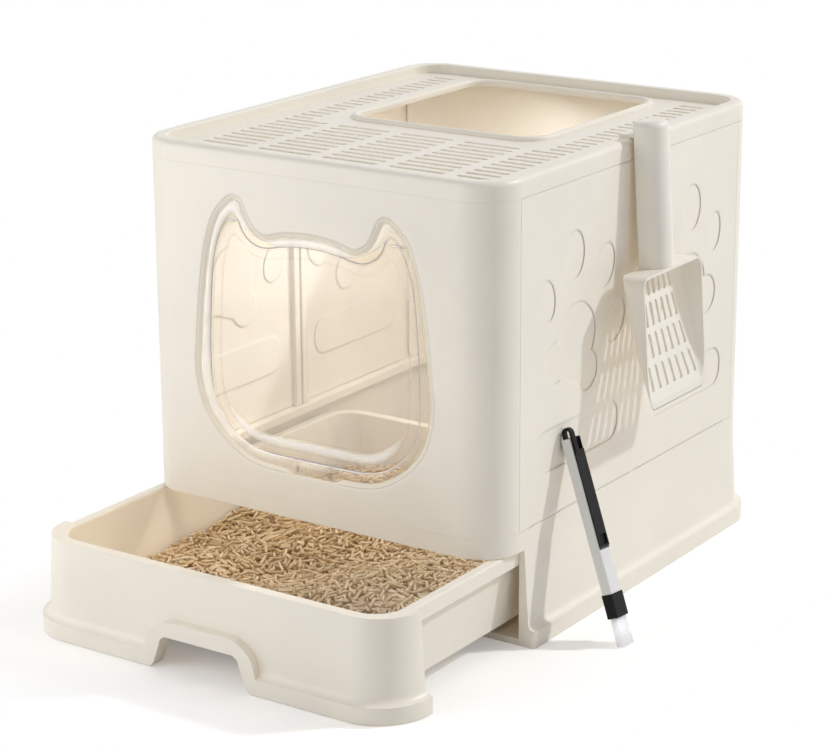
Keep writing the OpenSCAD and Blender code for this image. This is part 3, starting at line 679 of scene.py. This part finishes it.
fillet = window_fillet()
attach(fillet, "front_wall")
surround = door_surround_bead()
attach(surround, "front_wall")
line = surround_gap_shade()
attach(line, "front_wall")
flap_lip = flap_lip_bead()
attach(flap_lip, "flap")


# ---- film hinges -----------------------------------------------------------------------

# the skin over the fold of the right side wall, in metres
FILM_X = (0.2046, 0.20502)
FILM_Z = (0.1158, 0.4301)
FILM_HALF_Y, FILM_POINTS = 0.004, 9


def fold_film(side):
    """The moulded skin that runs across the fold of a side wall and hides its seam."""
    verts = [(side * x, y, z) for x in FILM_X for z in FILM_Z
             for y in np.linspace(-FILM_HALF_Y, FILM_HALF_Y, FILM_POINTS)]
    n = FILM_POINTS
    faces = []
    for i in range(n - 1):
        for a, b in ((0, n), (3 * n, 2 * n), (2 * n, 0), (n, 3 * n)):
            faces.append((a + i, a + i + 1, b + i + 1, b + i))
    faces += [(0, n, 3 * n, 2 * n), (n - 1, 3 * n - 1, 4 * n - 1, 2 * n - 1)]
    name = "right" if side > 0 else "left"
    film = piece("fold_film_" + name, verts, faces, film_ivory)
    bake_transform(film)


for side in (1, -1):
    fold_film(side)


# ---- brush -----------------------------------------------------------------------------

# brush frame in metres: X thickness, Y width, Z along the handle, 0 at the handle top
LEAN, TURN = math.radians(21.25), math.radians(-4.6)
BRUSH_X, BRUSH_Y = 0.20503, -0.138
BRUSH_LENGTH, SINK = 201, 1.2  # mm; the leaning tuft sinks this far and is trimmed at the floor
BRUSH_TOP = (BRUSH_LENGTH * math.cos(LEAN) * math.cos(TURN) - SINK) / MM
brush = (Matrix.Translation((BRUSH_X, BRUSH_Y, BRUSH_TOP))
         @ Matrix.Rotation(-LEAN, 4, "Y") @ Matrix.Rotation(TURN, 4, "X"))

# the tuft in that frame
TUFT_ROWS, TUFT_COLUMNS, LOCKS = 22, 11, 7
TUFT_X, TUFT_Y = 0.0055, 0.0099
TUFT_THICK, TUFT_WIDE = 0.0078, 0.0166
ROOT_Z, TIP_Z = -0.1700, -0.2010
BRISTLE_RADIUS = 0.00026
ROOT_STRAY, TIP_STRAY = 0.00012, 0.0004
SPREAD, SPREAD_STRAY, SPREAD_MORE_Y = 1.10, 0.03, 0.12  # tips against roots, about the tuft's middle
GATHER = 0.35  # how far a tip moves to the middle of its lock
TIP_LIMIT_X = 0.2867  # the tips stay inside the CAD model's box
TIP_ABOVE_FLOOR = 0.0004

# the handle's black seat for the dustpan's loop lies above and beyond these, in the same frame
SEAT_LOW, SEAT_SIDE = -0.0125, 0.0022
SEAT_BLACK = (0.014, 0.013, 0.013)


def dark_seat(part):
    """Blackens the handle's seat for the dustpan's loop."""
    handle = Nodes(part.data.materials[0].node_tree)
    local = brush.inverted() @ part.matrix_world
    masks = []
    for row, limit in ((local[2], SEAT_LOW), (local[1], SEAT_SIDE)):
        place = handle.dot(handle.coord.outputs["Object"], tuple(row[:3]))
        masks.append(handle.calc("GREATER_THAN", place, limit - row[3]))
    base = handle.tree.nodes["Principled BSDF"].inputs["Base Color"]
    plain = base.links[0].from_socket
    handle.plug(handle.mix(handle.calc("MULTIPLY", *masks), plain, SEAT_BLACK), base)


def bristles():
    """Nylon bristles that spread a little and gather in locks at their tips."""
    starts, ends = [], []
    for i in range(TUFT_ROWS):
        for j in range(TUFT_COLUMNS):
            y = TUFT_Y + ((i + 0.5) / TUFT_ROWS - 0.5) * TUFT_WIDE + rng.normal(0, ROOT_STRAY)
            x = TUFT_X + ((j + 0.5) / TUFT_COLUMNS - 0.5) * TUFT_THICK + rng.normal(0, ROOT_STRAY)
            root = brush @ Vector((x, y, ROOT_Z))
            spread = SPREAD + rng.normal(0, SPREAD_STRAY)
            lock = TUFT_Y + (((i * LOCKS) // TUFT_ROWS + 0.5) / LOCKS - 0.5) * TUFT_WIDE
            tip_x = TUFT_X + (x - TUFT_X) * spread
            tip_y = TUFT_Y + (y + (lock - y) * GATHER - TUFT_Y) * (spread + SPREAD_MORE_Y)
            tip = brush @ Vector((tip_x, tip_y, TIP_Z + rng.normal(0, TIP_STRAY)))
            tip.x = min(tip.x, TIP_LIMIT_X)
            if tip.z < TIP_ABOVE_FLOOR:
                tip = root + (tip - root) * ((root.z - TIP_ABOVE_FLOOR) / (root.z - tip.z))
            starts.append(tuple(root))
            ends.append(tuple(tip))
    return rods(np.array(starts), np.array(ends), np.full(len(starts), BRISTLE_RADIUS), sides=5, taper=0.8)


dark_seat(nodes["brush_body"])
# painted light: the bristles glow faintly, which brightens them without a lamp
nylon_shader = nylon.node_tree.nodes["Principled BSDF"].inputs
nylon_shader["Emission Color"].default_value = (0.93, 0.93, 0.95, 1)
nylon_shader["Emission Strength"].default_value = 0.16
tuft = piece("brush_tuft", *bristles(), nylon, smooth=True)
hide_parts("brush_bristles")
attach(tuft, "brush")


# ---- floor, light, camera --------------------------------------------------------------

# the part of the floor that shows its shadows: middle and half width in X and Y, and the fade around it
SHADOW_X, SHADOW_Y = (0.03, 0.215), (-0.085, 0.345)
SHADOW_FADE = (0.01, 0.14)
FLOOR_CORNERS = [(-14, -8, 0), (14, -8, 0), (14, 20, 0), (-14, 20, 0)]


def studio_floor():
    """Pale floor that keeps the shadows near the box and shows plain white away from it."""
    mat = Mat("studio_floor")
    colour = mat.ramp(mat.noise(3, 2), [(0.3, (0.90, 0.90, 0.90)), (0.7, (0.92, 0.92, 0.92))])
    mat.set(Base_Color=colour, Roughness=0.9, Specular_IOR_Level=0.0)

    def beyond(axis, middle, half):
        """Distance outside a band of the floor along one axis."""
        off = mat.calc("ABSOLUTE", mat.calc("SUBTRACT", mat.axis(axis), middle))
        return mat.calc("MAXIMUM", mat.calc("SUBTRACT", off, half), 0.0)

    away = mat.calc("ADD", beyond("X", *SHADOW_X), beyond("Y", *SHADOW_Y))
    fade = mat.span(away, 0.0, 1.0, *SHADOW_FADE)
    lift = mat.node("Emission", Strength=0.2)
    near = mat.feed(mat.node("AddShader"), (mat.bsdf.outputs[0], lift.outputs[0]))
    far = mat.node("Emission", Strength=1.0)
    shown = mat.mix_shader(fade, near, far.outputs[0])
    mat.show(mat.mix_shader(mat.node("LightPath").outputs["Is Camera Ray"], mat.bsdf.outputs[0], shown))
    return piece("studio_floor", FLOOR_CORNERS, [(0, 1, 2, 3)], mat.material)


floor = studio_floor()


def lamp(name, at, target, size, power, colour=WHITE, spread=180, glossy=True):
    """Rectangular area lamp that points at target; spread is in degrees."""
    data = bpy.data.lights.new(name, "AREA")
    data.shape = "RECTANGLE"
    data.size, data.size_y = size
    data.energy = power
    data.color = colour
    data.spread = math.radians(spread)
    made = bpy.data.objects.new(name, data)
    made.location = at
    made.rotation_mode = "QUATERNION"
    made.rotation_quaternion = (Vector(target) - Vector(at)).to_track_quat("-Z", "Y")
    made.visible_camera = made.visible_transmission = False
    made.visible_glossy = glossy
    bpy.context.scene.collection.objects.link(made)


lamp("key_right_rear", (5.0, 5.0, 6.0), (0, 0, 0.25), (0.42, 0.42), power=415)
lamp("soft_left_front", (-0.72, -0.95, 0.28), (-0.08, -0.3, 0.16), (0.55, 0.5), power=2.1)
lamp("soft_top_front", (-0.6, -1.5, 0.9), (-0.05, -0.3, 0.15), (0.8, 0.5), power=3.7)
lamp("tray_warm", (0.24, -0.345, 0.40), (-0.182, -0.34, 0.07), (0.12, 0.12), power=0.062,
     colour=(1.0, 0.88, 0.70), spread=45, glossy=False)
lamp("top_fill", (0.02, 0.03, 0.405), (-0.02, 0.06, 0.0), (0.25, 0.3), power=0.62,
     colour=(1.0, 0.99, 0.98), glossy=False)


FRONT_RIGHT = (0.62, -0.78, 0.05)  # a direction, about 1 long
SKY_BRIGHT, SKY_DIM = 0.545, 0.36


def studio_world():
    """Pale light from all around, weaker from the front right.

    The camera, mirrors and clear pieces see plain white.
    """
    world = bpy.data.worlds.new("studio")
    world.use_nodes = True
    sky = Nodes(world.node_tree)
    toward = sky.dot(sky.coord.outputs["Generated"], FRONT_RIGHT)
    strength = sky.span(toward, SKY_BRIGHT, SKY_DIM, -0.1, 1.0)
    light = sky.feed(sky.tree.nodes["Background"], (WHITE, strength))
    plain = sky.feed(sky.node("Background"), (WHITE, 1.0))
    rays = sky.node("LightPath").outputs
    seen = sky.calc("MAXIMUM", sky.calc("MAXIMUM", rays["Is Camera Ray"], rays["Is Glossy Ray"]),
                    rays["Is Transmission Ray"])
    surface = sky.tree.nodes["World Output"].inputs["Surface"]
    sky.plug(sky.mix_shader(seen, light, plain), surface)
    return world


bpy.context.scene.world = studio_world()
bpy.context.scene.view_settings.view_transform = "Standard"


CAMERA_AT = (1.357046, -2.076792, 0.934117)
CAMERA_ANGLES = (33.986, 16.987, -0.274)  # yaw, downward pitch and roll in degrees


def camera():
    """The photograph's view, fitted to the straight edges of the box."""
    yaw, pitch, roll = (math.radians(angle) for angle in CAMERA_ANGLES)
    ahead = Vector((-math.sin(yaw) * math.cos(pitch), math.cos(yaw) * math.cos(pitch), -math.sin(pitch)))
    level = ahead.cross(Vector((0, 0, 1))).normalized()
    upright = level.cross(ahead)
    right = math.cos(roll) * level + math.sin(roll) * upright
    up = -math.sin(roll) * level + math.cos(roll) * upright
    data = bpy.data.cameras.new("camera")
    data.sensor_width, data.lens = 36, 110.88
    data.shift_x, data.shift_y = -0.01141, 0.00604
    data.clip_start, data.clip_end = 0.05, 60
    made = bpy.data.objects.new("camera", data)
    made.matrix_world = Matrix.Translation(CAMERA_AT) @ Matrix((right, up, -ahead)).transposed().to_4x4()
    bpy.context.scene.collection.objects.link(made)
    return made


bpy.context.scene.camera = camera()
